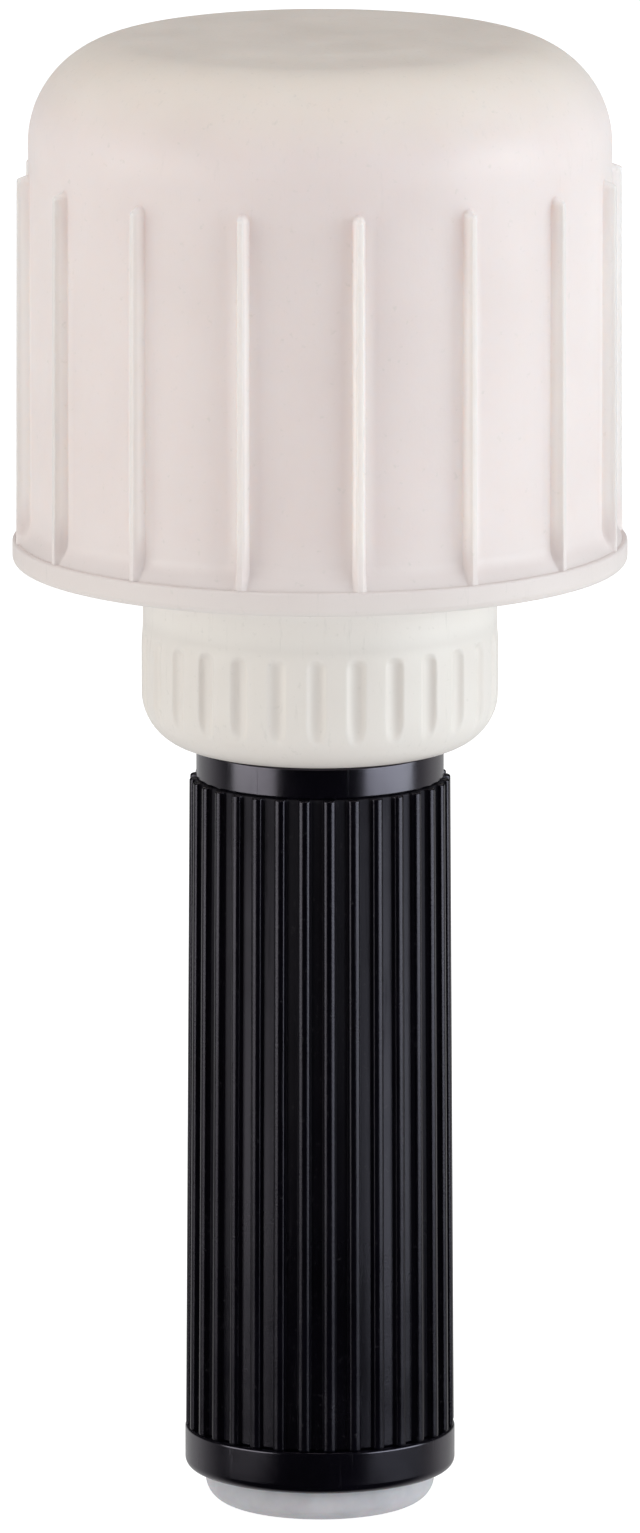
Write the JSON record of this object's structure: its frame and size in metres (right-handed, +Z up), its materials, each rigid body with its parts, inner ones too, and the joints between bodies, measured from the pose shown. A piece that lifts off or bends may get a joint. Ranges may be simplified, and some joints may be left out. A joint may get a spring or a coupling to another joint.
{
  "type": "in-line soft-faced mallet",
  "caption": "In-line soft-faced mallet with a finned milky-white head, a fluted screw collar and a straight ribbed black grip, stood on its end plug.",
  "frame": {"origin": "middle of the end plug's flat foot, at the bottom of the tool as it stands", "axes": "+Z up the tool's axis from the end plug to the striking face; -Y is the front, +X is to the right seen from the front"},
  "size_m": [0.09, 0.09, 0.2186],
  "materials": {
    "head_soft_white": "milky, satin",
    "head_white": "milky, satin",
    "collar_white": "milky, satin",
    "grip_black": "semi-gloss moulded",
    "handle_gloss_black": "gloss",
    "plug_clear_grey": "cloudy, satin",
    "seal_rubber": "matt",
    "tube_metal": "mill",
    "plated_steel": "bright zinc",
    "bush_nylon": "matt",
    "insert_brass": "turned",
    "core_plastic": "matt"
  },
  "bodies": {
    "handle": {"end_plug": "plug_clear_grey", "plug_seal_ring": "seal_rubber", "end_ring": "handle_gloss_black", "handle_tube": "tube_metal", "grip_sleeve": "grip_black", "threaded_ferrule": "handle_gloss_black", "centre_rod": "plated_steel", "rod_bush": "bush_nylon", "rod_washer": "plated_steel", "spring_washer": "plated_steel", "rod_nut": "plated_steel", "seat_gasket": "seal_rubber"},
    "head": {"head_base": "head_white", "head_shell": "head_soft_white", "head_core": "core_plastic", "key_socket": "plated_steel", "retaining_circlip": "plated_steel", "slip_washer": "bush_nylon", "base_screws": "plated_steel"},
    "collar": {"collar_nut": "collar_white", "thread_insert": "insert_brass"}
  },
  "joints": [
    {"name": "head_lift", "type": "slide", "parent": "handle", "child": "head", "axis": [0, 0, 1], "range_m": [0, 0.0075]},
    {"name": "collar_turn", "type": "hinge", "parent": "head", "child": "collar", "pos_m": [0, 0, 0.122], "axis": [0, 0, 1], "range_deg": [0, 1080]}
  ],
  "couplings": [
    {"joint": "collar_turn", "follows": "head_lift", "rad_per_m": 2513.3}
  ]
}
